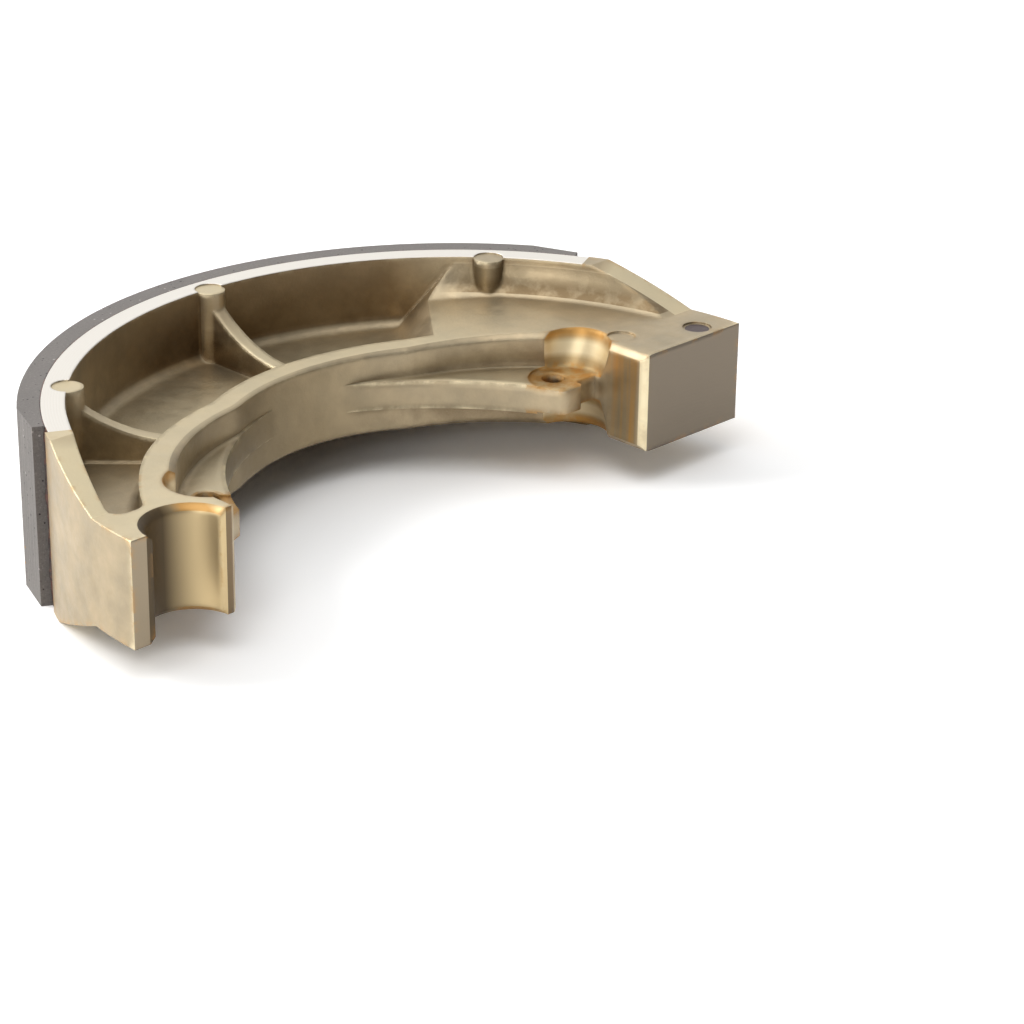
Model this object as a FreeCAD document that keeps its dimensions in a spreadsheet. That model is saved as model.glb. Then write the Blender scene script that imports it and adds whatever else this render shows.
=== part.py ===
import FreeCAD, Part
import Sketcher

import math
import os
import re

# Brake shoe for a 130 mm drum: one aluminium die-casting with a bonded friction lining.
#
# The origin is the drum's axis in the plane of the shoe's lower side. X runs along the
# diameter from the pivot end to the cam end, Y points out through the middle of the
# lining, and Z runs along the drum's axis. Angles are measured from Y, towards the cam
# end. Each body is drawn about the middle plane of the shoe and lifted by half its width.

os.makedirs("parts", exist_ok=True)
doc = FreeCAD.newDocument("BrakeShoe")

# Driving dimensions, in millimetres and degrees

DIMENSIONS = [
    ("lining_radius", 64.8, "outer radius of the ground lining"),
    ("lining_thickness", 3.25, "lining, full thickness"),
    ("lining_half_angle", 61.2, "half of the lining's arc"),
    ("lining_bevel_angle", 7.0, "arc of the bevel at each end of the lining"),
    ("lining_end_thickness", 1.7, "lining left at the end of its bevel"),
    ("bond_thickness", 0.15, "cured adhesive film"),
    ("bond_overrun", 0.35, "arc of adhesive squeezed out past the lining"),
    ("rim_width", 28.0, "width of the shoe along the axis"),
    ("rim_thickness", 3.5, "rim under the lining"),
    ("turned_half_angle", 63.4, "half of the arc turned round for the lining"),
    ("arm_step", 0.4, "arms as cast, proud of the turned rim"),
    ("web_thickness", 4.6, "web in the middle plane"),
    ("flange_radius", 35.2, "inner face of the inner flange"),
    ("flange_thickness", 4.0, "inner flange"),
    ("flange_height", 13.3, "inner flange at its middle, along the axis"),
    ("straight_angle", 30.0, "half of the arc where the flange keeps its radius"),
    ("blend_radius", 12.0, "smooth turn between those two curves"),
    ("flare_radius", 42.0, "curve of the inner face from there to the blocks"),
    ("outer_flare_radius", 52.0, "curve of the outer face on the pivot side"),
    ("crown_reach", 42.0, "where the flange has grown to the height of the blocks"),
    ("block_height", 16.3, "cam and pivot blocks, along the axis"),
    ("face_offset", 0.5, "end faces, above the diameter"),
    ("cam_inner", 39.8, "inner side of the cam block, from the axis"),
    ("cam_flare_end", 14.7, "where the flange meets that side"),
    ("pivot_inner", 43.2, "inner side of the pivot block, from the axis"),
    ("pivot_flare_end", 13.8, "where the flange meets that side"),
    ("arm_start_angle", 66.5, "where the arms begin to narrow"),
    ("arm_end_angle", 80.6, "where the arms reach the height of the blocks"),
    ("cove_depth", 4.2, "cove between the rim and the deck on the cam side"),
    ("cove_radius", 7.5, "curve of the cove"),
    ("cove_lip", 1.0, "rim left above the cove"),
    ("cove_foot", 0.5, "foot of the cove, above the flange's top"),
    ("cove_lead", 6.0, "arc of the cove on the far side of the ramp's middle"),
    ("ramp_angle", 38.4, "place of the ramp that closes the channel at the cam end"),
    ("ramp_run", 10.2, "length of the ramp, from the web up to the rim"),
    ("ramp_lead", 9.0, "arc of the channel's core past the ramp's middle"),
    ("ramp_flare", 3.2, "flange at that place, further out than at its middle"),
    ("channel_end", 8.4, "closed end of the channel on the pivot side"),
    ("channel_tip_width", 5.6, "width of that end"),
    ("channel_tip_radius", 2.2, "its corners"),
    ("arm_wall", 2.4, "wall outside the channel at that end"),
    ("arm_wall_start", 58.0, "where the rim begins to thin to that wall"),
    ("arm_wall_curve", 80.0, "curve of the wall from there"),
    ("floor_radius", 2.0, "fillet round the floor of the channel"),
    ("bead_bevel", 0.9, "edge of the flange and blocks on the side of the hub, broken by this much"),
    ("rib_thickness", 2.4, "cross ribs"),
    ("rib_spacing", 46.5, "angle between the two cross ribs"),
    ("rib_drop", 0.8, "middle rib at the rim, below its side"),
    ("side_rib_drop", 1.6, "side rib at the rim, below its side"),
    ("rib_tail_drop", 0.9, "ribs at the flange, below its top"),
    ("rib_curve", 24.0, "hollow line of the ribs' top"),
    ("side_rib_flare", 3.0, "flange at the side rib, further out than at its middle"),
    ("boss_diameter", 4.8, "bosses for the ejector pins"),
    ("ejector_depth", 0.2, "marks that the ejector pins leave"),
    ("cam_boss_angle", 48.0, "ejector boss on the cam side"),
    ("cam_shelf_start", 12.0, "where the web comes out inside the flange, cam side"),
    ("cam_shelf_radius", 54.0, "its edge"),
    ("cam_tab_left", 31.2, "end of the shelf, near side"),
    ("cam_tab_right", 35.6, "end of the shelf, beside the gap"),
    ("cam_tab_end", 9.6, "end of the shelf, above the diameter"),
    ("cam_gap_end", 11.3, "end of the gap between the shelf and the block"),
    ("pivot_shelf_start", 12.0, "where the web comes out inside the flange, pivot side"),
    ("pivot_shelf_radius", 43.5, "its edge"),
    ("pivot_tab_x", 35.4, "where the edge turns to the pivot block"),
    ("pivot_tab_y", 9.4, "height of that point above the diameter"),
    ("pivot_tab_root", 5.5, "where the edge meets the block"),
    ("shelf_corner_radius", 1.0, "upright corners of the cam shelf"),
    ("spot_depth", 0.3, "spot faces round the spring holes, into the shelf"),
    ("spot_lean", 20.0, "lean of the cutter, away from the hub"),
    ("cam_spot_radius", 5.8, "spot face beside the cam block"),
    ("cam_spot_x", 34.9, "its centre"),
    ("cam_spot_y", 13.2, "its centre"),
    ("pivot_spot_radius", 6.4, "spot face beside the pivot block"),
    ("pivot_spot_x", 38.3, "its centre"),
    ("pivot_spot_y", 9.9, "its centre"),
    ("spring_hole_diameter", 3.8, "holes for the return springs' hooks"),
    ("cam_hole_x", 34.0, "spring hole near the cam block"),
    ("cam_hole_y", 14.8, "spring hole near the cam block"),
    ("pivot_hole_x", 36.3, "spring hole near the pivot block"),
    ("pivot_hole_y", 15.4, "spring hole near the pivot block"),
    ("seat_radius", 6.0, "half-round seat for the anchor pin"),
    ("seat_x", 52.2, "axis of the anchor pin, from the drum's axis"),
    ("seat_bevel", 0.9, "bevel round the mouth of the seat"),
    ("corner_radius", 1.3, "upright corners of the blocks"),
    ("mark_diameter", 4.7, "dark round mark on the cam block"),
    ("mark_x", 55.6, "its centre"),
    ("mark_y", 4.0, "its centre"),
    ("mark_depth", 0.3, "its depth"),
    ("ring_diameter", 4.6, "second mark on the cam block"),
    ("ring_x", 43.7, "its centre"),
    ("ring_y", 9.4, "its centre"),
]
NAMES = [name for name, _, _ in DIMENSIONS]

sheet = doc.addObject("Spreadsheet::Sheet", "Dims")
for row, (name, value, note) in enumerate(DIMENSIONS, start=1):
    sheet.set(f"A{row}", note)
    sheet.set(f"B{row}", str(value))
    sheet.setAlias(f"B{row}", name)
doc.recompute()

# Radii that follow from the driving dimensions, from the drum's axis outwards
LINING_INNER = "(lining_radius - lining_thickness)"
RIM_OUTER = "(lining_radius - lining_thickness - bond_thickness)"
RIM_INNER = "(lining_radius - lining_thickness - bond_thickness - rim_thickness)"
ARM_OUTER = "(lining_radius - lining_thickness - bond_thickness + arm_step)"
RIM_MIDDLE = "(lining_radius - lining_thickness - bond_thickness - rim_thickness / 2)"
FLANGE_OUTER = "(flange_radius + flange_thickness)"
WEB_BAND = "(flange_radius + 2.5 * flange_thickness)"

# Angle up to which the shelves are rooted in the web and the blocks
SHELF_ROOT = "70"

# Cutting outlines run past what they cut by this much
SPARE = 1.0

# How near a point, in millimetres or degrees, counts as at a place
NEAR = 0.02
NEAR_ANGLE = 0.5

# Rise of a face's direction along the axis, under which it is a wall, or over which a top
WALL_RISE = 0.3
TOP_RISE = 0.8

# Share of the ramp by which its cutting line goes on past its upper end
RAMP_MORE = 0.5


def tied(formula):
    """A formula with the sheet's names in full, as a bound property takes it."""
    return re.sub(r"[a-z_]+", lambda word: f"Dims.{word[0]}" if word[0] in NAMES else word[0], formula)


def number(formula):
    """Value of a formula at the present sizes."""
    return float(sheet.evalExpression(formula))


def bind(item, prop, formula):
    item.setExpression(prop, tied(formula))


def polar(radius, angle):
    """Point at a radius from the drum's axis and an angle from Y, towards the cam end."""
    return f"{radius} * sin({angle})", f"{radius} * cos({angle})"


def arc(radius, side):
    """Curve to the next point; side is 1 with its centre on the left of the way, else -1."""
    return radius, side


def origin_part(body, role):
    return next(item for item in body.Origin.OriginFeatures if item.Role == role)


def new_sketch(body, name, role="XY_Plane", lift=None, turn=None):
    """Sketch on an origin plane of its body, lifted off it or turned about the drum's axis."""
    sketch = body.newObject("Sketcher::SketchObject", name)
    sketch.AttachmentSupport = [(origin_part(body, role), "")]
    sketch.MapMode = "FlatFace"
    if turn:
        rotation = FreeCAD.Rotation(FreeCAD.Vector(0, 1, 0), number(turn))
        sketch.AttachmentOffset = FreeCAD.Placement(FreeCAD.Vector(), rotation)
        bind(sketch, "AttachmentOffset.Rotation.Angle", turn)
    if lift:
        bind(sketch, "AttachmentOffset.Base.z", lift)
    return sketch


def fix_point(sketch, edge, end, x, y):
    """Hold a point at its distances from the sketch's axes."""
    for kind, formula in (("DistanceX", x), ("DistanceY", y)):
        value = number(formula)
        if abs(value) < 1e-9 and formula == "0":
            axis = -2 if kind == "DistanceX" else -1
            sketch.addConstraint(Sketcher.Constraint("PointOnObject", edge, end, axis))
            continue
        index = sketch.addConstraint(Sketcher.Constraint(kind, -1, 1, edge, end, value))
        bind(sketch, f"Constraints[{index}]", formula)


def outline(sketch, steps):
    """Closed outline. Each step is a point (x, y) and the curve to the next, or None."""
    corners = [FreeCAD.Vector(number(x), number(y), 0) for x, y, _ in steps]
    starts, ends = [], []
    for index, (x, y, curve) in enumerate(steps):
        start = corners[index]
        end = corners[(index + 1) % len(steps)]
        if curve is None:
            edge = sketch.addGeometry(Part.LineSegment(start, end))
            starts.append((edge, 1))
            ends.append((edge, 2))
            continue
        radius, side = number(curve[0]), curve[1]
        chord = end - start
        rise = math.sqrt(radius ** 2 - (chord.Length / 2) ** 2)
        normal = FreeCAD.Vector(-chord.y, chord.x, 0) * (side / chord.Length)
        centre = (start + end) * 0.5 + normal * rise
        first, last = (start, end) if side > 0 else (end, start)
        circle = Part.Circle(centre, FreeCAD.Vector(0, 0, 1), radius)
        sweep = Part.ArcOfCircle(circle, circle.parameter(first), circle.parameter(last))
        edge = sketch.addGeometry(sweep)
        starts.append((edge, 1 if side > 0 else 2))
        ends.append((edge, 2 if side > 0 else 1))
        row = sketch.addConstraint(Sketcher.Constraint("Radius", edge, radius))
        bind(sketch, f"Constraints[{row}]", curve[0])
    for index, (x, y, _) in enumerate(steps):
        fix_point(sketch, *starts[index], x, y)
        joint = Sketcher.Constraint("Coincident", *ends[index - 1], *starts[index])
        sketch.addConstraint(joint)
    return sketch


def circle(sketch, diameter, x, y):
    """Full circle held at its centre and diameter."""
    centre = FreeCAD.Vector(number(x), number(y), 0)
    ring = Part.Circle(centre, FreeCAD.Vector(0, 0, 1), number(diameter) / 2)
    edge = sketch.addGeometry(ring)
    fix_point(sketch, edge, 3, x, y)
    row = sketch.addConstraint(Sketcher.Constraint("Diameter", edge, number(diameter)))
    bind(sketch, f"Constraints[{row}]", diameter)
    return sketch


def feature(body, kind, name, sketch, **settings):
    """PartDesign feature on a sketch; a text setting is a formula."""
    item = body.newObject(f"PartDesign::{kind}", name)
    item.Profile = sketch
    item.Refine = True
    for prop, value in settings.items():
        if prop in ("Length", "Angle"):
            bind(item, prop, value)
        else:
            setattr(item, prop, value)
    doc.recompute()
    return item


def revolve(body, name, sketch, angle, kind="Revolution"):
    """Section turned about the drum's axis, as much to either side of its plane."""
    axis = (origin_part(body, "Z_Axis"), [""])
    return feature(body, kind, name, sketch, ReferenceAxis=axis, Angle=angle, Midplane=True)


def cut(body, name, sketch, before, **settings):
    """Pocket that must take something off what stands before it."""
    item = feature(body, "Pocket", name, sketch, **settings)
    if not item.Shape.Volume < before.Shape.Volume - 1e-6:
        raise RuntimeError(f"{name} cuts nothing")
    return item


def work_edges(body, kind, name, base, test, size):
    """Fillet or chamfer on the edges of the feature before it that pass a test."""
    edges = [f"Edge{index}" for index, edge in enumerate(base.Shape.Edges, start=1) if test(edge)]
    item = body.newObject(f"PartDesign::{kind}", name)
    item.Base = (base, edges)
    bind(item, "Radius" if kind == "Fillet" else "Size", size)
    doc.recompute()
    return item


def ends_at(edge):
    return [vertex.Point for vertex in edge.Vertexes]


def reach(point):
    """Distance of a point from the drum's axis."""
    return math.hypot(point.x, point.y)


def upright(edge):
    first, last = ends_at(edge)[0], ends_at(edge)[-1]
    return abs(first.x - last.x) < 1e-4 and abs(first.y - last.y) < 1e-4 and abs(first.z - last.z) > 1e-3


def middle(edge):
    return edge.valueAt((edge.FirstParameter + edge.LastParameter) / 2)


def facing(face, point):
    """Direction that a face looks in at a point on it."""
    return face.normalAt(*face.Surface.parameter(point))


def outer_top_edge(item, edge, low, high):
    """Edge between a top, at a height from low to high, and an upright wall that falls away from it."""
    heights = [point.z for point in ends_at(edge)]
    if min(heights) < low - NEAR or max(heights) > high + NEAR:
        return False
    sides = [facing(face, middle(edge)) for face in item.Shape.ancestorsOfType(edge, Part.Face)]
    if len(sides) != 2:
        return False
    wall, top = sorted(sides, key=lambda side: abs(side.z))
    beyond = middle(edge) + wall * 5 * NEAR - FreeCAD.Vector(0, 0, 2 * NEAR)
    return abs(wall.z) < WALL_RISE and top.z > TOP_RISE and not item.Shape.isInside(beyond, 1e-6, True)


def looks_to_hub(item, edge):
    """Whether the wall at an edge faces the drum's axis."""
    sides = [facing(face, middle(edge)) for face in item.Shape.ancestorsOfType(edge, Part.Face)]
    wall = min(sides, key=lambda side: abs(side.z))
    spot = middle(edge)
    return wall.x * spot.x + wall.y * spot.y < 0


# Casting: the upper half is drawn from the middle plane upwards, and mirrored

casting = doc.addObject("PartDesign::Body", "Casting")
casting.Label = "shoe_casting"

HALF_BLOCK = "block_height / 2"
HALF_RIM = "rim_width / 2"
FACE_X = f"sqrt({RIM_MIDDLE} ^ 2 - face_offset ^ 2)"

plan = outline(new_sketch(casting, "PlanSketch"), [
    (FACE_X, "face_offset", None),
    ("cam_inner", "face_offset", None),
    ("cam_inner", "cam_flare_end", arc("flare_radius", 1)),
    (*polar("flange_radius", "straight_angle"), arc("flange_radius", 1)),
    (*polar("flange_radius", "-straight_angle"), arc("flare_radius", 1)),
    ("-pivot_inner", "pivot_flare_end", None),
    ("-pivot_inner", "face_offset", None),
    (f"-{FACE_X}", "face_offset", arc(RIM_MIDDLE, -1)),
    ("0", RIM_MIDDLE, arc(RIM_MIDDLE, -1)),
])
blank = feature(casting, "Pad", "Blank", plan, Length=HALF_BLOCK)


def turn_corner(edge):
    """Upright edge where the flange leaves its constant radius."""
    point = ends_at(edge)[0]
    place = abs(abs(math.degrees(math.atan2(point.x, point.y))) - number("straight_angle"))
    return upright(edge) and place < NEAR_ANGLE


blend = work_edges(casting, "Fillet", "FlangeBlend", blank, turn_corner, "blend_radius")

# The flange is lowest at its middle: its top follows a long arc seen along Y
CROWN_RISE = "(block_height - flange_height) / 2"
CROWN_RADIUS = f"((crown_reach ^ 2 + ({CROWN_RISE}) ^ 2) / (2 * ({CROWN_RISE})))"
crown_line = outline(new_sketch(casting, "CrownSketch", "XZ_Plane"), [
    ("-crown_reach", HALF_BLOCK, arc(CROWN_RADIUS, 1)),
    ("crown_reach", HALF_BLOCK, None),
    ("crown_reach", f"{HALF_BLOCK} + {SPARE}", None),
    ("-crown_reach", f"{HALF_BLOCK} + {SPARE}", None),
])
crown = cut(casting, "Crown", crown_line, blend, Type="ThroughAll", SideType="Symmetric")

rim_section = outline(new_sketch(casting, "RimSketch", "YZ_Plane"), [
    (RIM_INNER, "0", None),
    (ARM_OUTER, "0", None),
    (ARM_OUTER, HALF_RIM, None),
    (RIM_INNER, HALF_RIM, None),
])
rim = revolve(casting, "Rim", rim_section, "180")

COVE_MIDDLE = "(arm_end_angle + ramp_angle - cove_lead) / 2"
cove_sketch = new_sketch(casting, "CoveSketch", "YZ_Plane", turn=f"-{COVE_MIDDLE}")
cove_section = outline(cove_sketch, [
    (f"{RIM_INNER} - cove_depth", f"flange_height / 2 - {SPARE}", None),
    (RIM_MIDDLE, f"flange_height / 2 - {SPARE}", None),
    (RIM_MIDDLE, f"{HALF_RIM} - cove_lip", None),
    (RIM_INNER, f"{HALF_RIM} - cove_lip", arc("cove_radius", -1)),
    (f"{RIM_INNER} - cove_depth", "flange_height / 2 + cove_foot", None),
])
cove = revolve(casting, "Cove", cove_section, "arm_end_angle - ramp_angle + cove_lead")

# The arms narrow from the rim's width to the height of the blocks
arm_line = outline(new_sketch(casting, "ArmSketch", "YZ_Plane"), [
    (f"{ARM_OUTER} * cos(arm_start_angle)", HALF_RIM, None),
    (f"{ARM_OUTER} * cos(arm_end_angle)", HALF_BLOCK, None),
    (f"-{SPARE}", HALF_BLOCK, None),
    (f"-{SPARE}", f"{HALF_RIM} + {SPARE}", None),
    (f"{ARM_OUTER} * cos(arm_start_angle)", f"{HALF_RIM} + {SPARE}", None),
])
arms = cut(casting, "Arms", arm_line, cove, Type="ThroughAll", SideType="Symmetric")

end_line = outline(new_sketch(casting, "EndSketch"), [
    ("-lining_radius", f"-{SPARE}", None),
    ("lining_radius", f"-{SPARE}", None),
    ("lining_radius", "face_offset", None),
    ("-lining_radius", "face_offset", None),
])
trimmed = cut(casting, "EndFaces", end_line, arms, Type="ThroughAll", Reversed=True)

# The rim is turned down for the lining, and the arms stay as cast
turned_section = outline(new_sketch(casting, "TurnedSketch", "YZ_Plane"), [
    (RIM_OUTER, f"-{SPARE}", None),
    (f"{ARM_OUTER} + {SPARE}", f"-{SPARE}", None),
    (f"{ARM_OUTER} + {SPARE}", f"{HALF_RIM} + {SPARE}", None),
    (RIM_OUTER, f"{HALF_RIM} + {SPARE}", None),
])
turned = revolve(casting, "TurnedRim", turned_section, "2 * turned_half_angle", kind="Groove")

# Core that leaves the channel between the rim and the flange, with a ramp at its cam end

core = doc.addObject("PartDesign::Body", "ChannelCore")

TIP_X = f"sqrt(({ARM_OUTER} - arm_wall) ^ 2 - channel_end ^ 2)"
core_plan = outline(new_sketch(core, "CorePlanSketch", lift="web_thickness / 2"), [
    (*polar(RIM_INNER, "ramp_angle + ramp_lead"), None),
    (*polar(f"({FLANGE_OUTER} + ramp_flare)", "ramp_angle + ramp_lead"), None),
    (*polar(FLANGE_OUTER, "straight_angle"), arc(FLANGE_OUTER, 1)),
    (*polar(FLANGE_OUTER, "-straight_angle"), arc("outer_flare_radius", 1)),
    (f"-{TIP_X} + channel_tip_width", "channel_end", None),
    (f"-{TIP_X}", "channel_end", arc("arm_wall_curve", -1)),
    (*polar(RIM_INNER, "-arm_wall_start"), arc(RIM_INNER, -1)),
    ("0", RIM_INNER, arc(RIM_INNER, -1)),
])
CORE_HEIGHT = f"(rim_width - web_thickness) / 2 + {SPARE}"
core_blank = feature(core, "Pad", "CoreBlank", core_plan, Length=CORE_HEIGHT)

ramp_sketch = new_sketch(core, "RampSketch", "XZ_Plane", turn="-ramp_angle")
RAMP_RISE = "(rim_width - web_thickness) / 2"
RAMP_TOP = f"web_thickness / 2 + {1 + RAMP_MORE} * {RAMP_RISE}"
ramp_line = outline(ramp_sketch, [
    ("-ramp_run / 2", "web_thickness / 2", None),
    (f"{0.5 + RAMP_MORE} * ramp_run", RAMP_TOP, None),
    ("2 * ramp_run", RAMP_TOP, None),
    ("2 * ramp_run", f"web_thickness / 2 - {SPARE}", None),
    ("-ramp_run / 2", f"web_thickness / 2 - {SPARE}", None),
])
ramp = cut(core, "Ramp", ramp_line, core_blank, Type="ThroughAll", SideType="Symmetric")


def tip_corner(edge):
    point = ends_at(edge)[0]
    return upright(edge) and point.x < 0 and abs(point.y - number("channel_end")) < NEAR


core_blend = work_edges(core, "Fillet", "CoreBlend", ramp, turn_corner, "blend_radius")
core_tip = work_edges(core, "Fillet", "CoreTip", core_blend, tip_corner, "channel_tip_radius")
CORE_FLOOR = number("web_thickness / 2")


def round_the_floor(edge):
    return max(point.z for point in ends_at(edge)) < CORE_FLOOR + NEAR


work_edges(core, "Fillet", "FloorRound", core_tip, round_the_floor, "floor_radius")

channel = casting.newObject("PartDesign::Boolean", "Channel")
channel.Type = "Cut"
channel.Group = [core]
doc.recompute()

# The flange and the blocks have their edges broken along the hub's side

FLANGE_LOW = number("flange_height / 2")
BLOCK_TOP = number(HALF_BLOCK)


def hub_side(edge):
    spot = middle(edge)
    inside = spot.y > number("face_offset") + NEAR and reach(spot) < number(f"{RIM_INNER} - {SPARE}")
    return inside and outer_top_edge(channel, edge, FLANGE_LOW, BLOCK_TOP) and looks_to_hub(channel, edge)


bead = work_edges(casting, "Chamfer", "Bead", channel, hub_side, "bead_bevel")


def block_corner(edge):
    """Upright corners of the blocks at the hub's side of their end faces."""
    point = ends_at(edge)[0]
    inner = number("cam_inner") if point.x > 0 else number("pivot_inner")
    at_face = abs(point.y - number("face_offset")) < NEAR
    return upright(edge) and at_face and abs(abs(point.x) - inner) < NEAR


corners = work_edges(casting, "Fillet", "BlockCorners", bead, block_corner, "corner_radius")

# Cross ribs from the rim down to the flange, thinnest along their top

RIB_ROOT = f"({FLANGE_OUTER} - flange_thickness / 2)"
RIB_FOOT = f"web_thickness / 2 - {SPARE} / 2"
RIB_TAIL = "flange_height / 2 - rib_tail_drop"


def cross_rib(name, root, drop, turn=None):
    """Rib in a plane through the drum's axis, with a hollow top."""
    side = outline(new_sketch(casting, f"{name}Sketch", "YZ_Plane", turn=turn), [
        (root, RIB_FOOT, None),
        (RIM_MIDDLE, RIB_FOOT, None),
        (RIM_MIDDLE, f"{HALF_RIM} - {drop}", None),
        (RIM_INNER, f"{HALF_RIM} - {drop}", arc("rib_curve", -1)),
        (root, RIB_TAIL, None),
    ])
    return feature(casting, "Pad", name, side, Length="rib_thickness", Midplane=True)


middle_rib = cross_rib("MiddleRib", RIB_ROOT, "rib_drop")
side_rib = cross_rib("SideRib", f"({RIB_ROOT} + side_rib_flare)", "side_rib_drop", turn="rib_spacing")

# The web comes out inside the flange as a shelf that holds the return springs' hooks

cam_shelf = feature(casting, "Pad", "CamShelf", outline(new_sketch(casting, "CamShelfSketch"), [
    (*polar("flange_radius", "cam_shelf_start"), arc("cam_shelf_radius", -1)),
    ("cam_tab_left", "cam_tab_end", None),
    ("cam_tab_right", "cam_tab_end", None),
    ("cam_tab_right", "cam_gap_end", None),
    (f"cam_inner + {SPARE}", "cam_gap_end", None),
    (*polar(WEB_BAND, SHELF_ROOT), arc(WEB_BAND, 1)),
    (*polar(WEB_BAND, "cam_shelf_start"), None),
]), Length="web_thickness / 2")

pivot_shelf = feature(casting, "Pad", "PivotShelf", outline(new_sketch(casting, "PivotShelfSketch"), [
    (*polar("flange_radius", "-pivot_shelf_start"), arc("pivot_shelf_radius", 1)),
    ("-pivot_tab_x", "pivot_tab_y", None),
    (f"-(pivot_inner + {SPARE})", "pivot_tab_root", None),
    (*polar(WEB_BAND, f"-{SHELF_ROOT}"), arc(WEB_BAND, -1)),
    (*polar(WEB_BAND, "-pivot_shelf_start"), None),
]), Length="web_thickness / 2")


def tab_corner(edge):
    """Upright corners at the end of the cam shelf."""
    point = ends_at(edge)[0]
    at_end = abs(point.y - number("cam_tab_end")) < NEAR
    return upright(edge) and at_end and min(point.z for point in ends_at(edge)) < NEAR


tab = work_edges(casting, "Fillet", "TabCorners", pivot_shelf, tab_corner, "shelf_corner_radius")


def spot_face(name, before, radius, x, y, lean):
    """Flat round seat in the shelf at a spring hole, with walls that lean away from the hub."""
    sketch = new_sketch(casting, f"{name}Sketch", lift="web_thickness / 2 - spot_depth")
    circle(sketch, f"2 * {radius}", x, y)
    slant = FreeCAD.Vector(number(f"tan({lean})"), 0, 1)
    item = cut(casting, name, sketch, before, Type="ThroughAll", UseCustomVector=True, Direction=slant)
    bind(item, "Direction.x", f"tan({lean})")
    return item


cam_spot = spot_face("CamSpot", tab, "cam_spot_radius", "cam_spot_x", "cam_spot_y", "spot_lean")
spots = spot_face("PivotSpot", cam_spot, "pivot_spot_radius", "-pivot_spot_x", "pivot_spot_y", "-spot_lean")

hole_sketch = new_sketch(casting, "SpringHoleSketch")
circle(hole_sketch, "spring_hole_diameter", "cam_hole_x", "cam_hole_y")
circle(hole_sketch, "spring_hole_diameter", "-pivot_hole_x", "pivot_hole_y")
spring_holes = cut(casting, "SpringHoles", hole_sketch, spots, Type="ThroughAll", Reversed=True)

mirror = casting.newObject("PartDesign::Mirrored", "BothHalves")
mirror.TransformMode = "Whole shape"
mirror.MirrorPlane = (origin_part(casting, "XY_Plane"), [""])
mirror.Refine = True
casting.Tip = mirror
doc.recompute()

# Bosses on the upper side take the ejector pins, and keep the pins' marks

BOSS_ANGLES = ["0", "-rib_spacing", "cam_boss_angle"]

boss_sketch = new_sketch(casting, "BossSketch")
for angle in BOSS_ANGLES:
    circle(boss_sketch, "boss_diameter", *polar(RIM_INNER, angle))
bosses = feature(casting, "Pad", "Bosses", boss_sketch, Length=HALF_RIM)

pin_sketch = new_sketch(casting, "EjectorSketch", lift=f"{HALF_RIM} - ejector_depth")
for angle in BOSS_ANGLES:
    circle(pin_sketch, "boss_diameter", *polar(RIM_INNER, angle))
ejector_marks = cut(casting, "EjectorMarks", pin_sketch, bosses, Type="ThroughAll", Reversed=True)

mark_sketch = new_sketch(casting, "MarkSketch", lift=f"{HALF_BLOCK} - mark_depth")
circle(mark_sketch, "mark_diameter", "mark_x", "mark_y")
circle(mark_sketch, "ring_diameter", "ring_x", "ring_y")
marks = cut(casting, "BlockMarks", mark_sketch, ejector_marks, Type="ThroughAll", Reversed=True)

seat_sketch = new_sketch(casting, "SeatSketch")
circle(seat_sketch, "2 * seat_radius", "-seat_x", "0")
seat = cut(casting, "AnchorSeat", seat_sketch, marks, Type="ThroughAll", SideType="Symmetric")


def seat_mouth(edge):
    """Edges where the seat comes out at both sides of the pivot block."""
    spot = middle(edge)
    gap = math.hypot(spot.x + number("seat_x"), spot.y) - number("seat_radius")
    return abs(gap) < NEAR and abs(abs(spot.z) - BLOCK_TOP) < NEAR


work_edges(casting, "Chamfer", "SeatBevel", seat, seat_mouth, "seat_bevel")

# Friction lining, ground round on the shoe, with a flat bevel at each end

lining = doc.addObject("PartDesign::Body", "Lining")
lining.Label = "friction_lining"
lining_section = outline(new_sketch(lining, "LiningSketch", "YZ_Plane"), [
    (LINING_INNER, f"-{HALF_RIM}", None),
    ("lining_radius", f"-{HALF_RIM}", None),
    ("lining_radius", HALF_RIM, None),
    (LINING_INNER, HALF_RIM, None),
])
band = revolve(lining, "LiningBand", lining_section, "2 * lining_half_angle")
LINING_END = f"({LINING_INNER} + lining_end_thickness)"
BEVEL_START = "lining_half_angle - lining_bevel_angle"
OUTSIDE = f"(lining_radius + {SPARE})"
bevel_line = outline(new_sketch(lining, "BevelSketch"), [
    (*polar("lining_radius", BEVEL_START), None),
    (*polar(LINING_END, "lining_half_angle"), None),
    (*polar(OUTSIDE, "lining_half_angle"), None),
    (*polar(OUTSIDE, BEVEL_START), None),
])
bevel = cut(lining, "Bevel", bevel_line, band, Type="ThroughAll", SideType="Symmetric")
bevels = lining.newObject("PartDesign::Mirrored", "BothBevels")
bevels.Originals = [bevel]
bevels.MirrorPlane = (origin_part(lining, "YZ_Plane"), [""])
lining.Tip = bevels

# Adhesive film between the casting and the lining

bond = doc.addObject("PartDesign::Body", "Bond")
bond.Label = "bond_film"
bond_section = outline(new_sketch(bond, "BondSketch", "YZ_Plane"), [
    (RIM_OUTER, f"-{HALF_RIM}", None),
    (LINING_INNER, f"-{HALF_RIM}", None),
    (LINING_INNER, HALF_RIM, None),
    (RIM_OUTER, HALF_RIM, None),
])
film = revolve(bond, "BondFilm", bond_section, "2 * (lining_half_angle + bond_overrun)")

PIECES = [casting, lining, bond]
for piece in PIECES:
    bind(piece, "Placement.Base.z", HALF_RIM)
doc.recompute()

# Every feature must be sound before anything is written

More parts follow.
